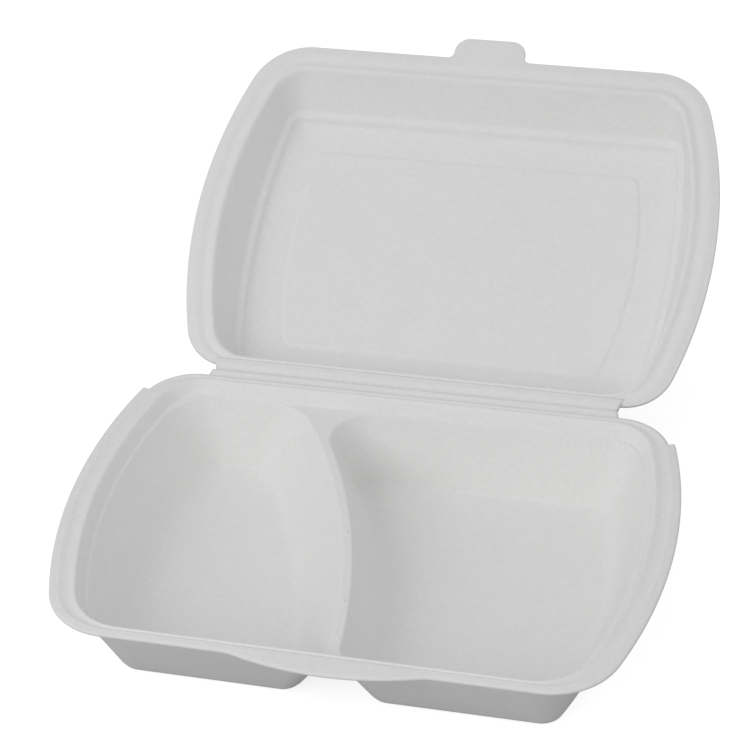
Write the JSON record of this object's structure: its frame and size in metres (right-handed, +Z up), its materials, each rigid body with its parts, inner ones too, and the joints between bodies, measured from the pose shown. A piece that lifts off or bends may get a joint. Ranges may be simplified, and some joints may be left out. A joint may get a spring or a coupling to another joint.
{
  "type": "foam clamshell container",
  "caption": "Open foam food box with a hinged lid, a curved divider between a small and a large compartment, a stepped rim and a lifting tab.",
  "frame": {"origin": "middle of the tray's footprint, on the plane that its two pans stand on", "axes": "+Z up, +Y from the front lip towards the hinge, +X to the right when the box is seen from its front"},
  "size_m": [0.2368, 0.311, 0.118],
  "materials": {
    "base_foam": "white expanded polystyrene foam, satin pressed skin with a fine cell mottle",
    "lid_foam": "white expanded polystyrene foam, satin pressed skin with a fine cell mottle"
  },
  "bodies": {
    "tray": {"base_tray": "base_foam"},
    "lid": {"lid": "lid_foam"}
  },
  "joints": [
    {"name": "lid_hinge", "type": "hinge", "parent": "tray", "child": "lid", "pos_m": [0, 0.0782, 0.0396], "axis": [1, 0, 0], "range_deg": [-29, 151]}
  ]
}
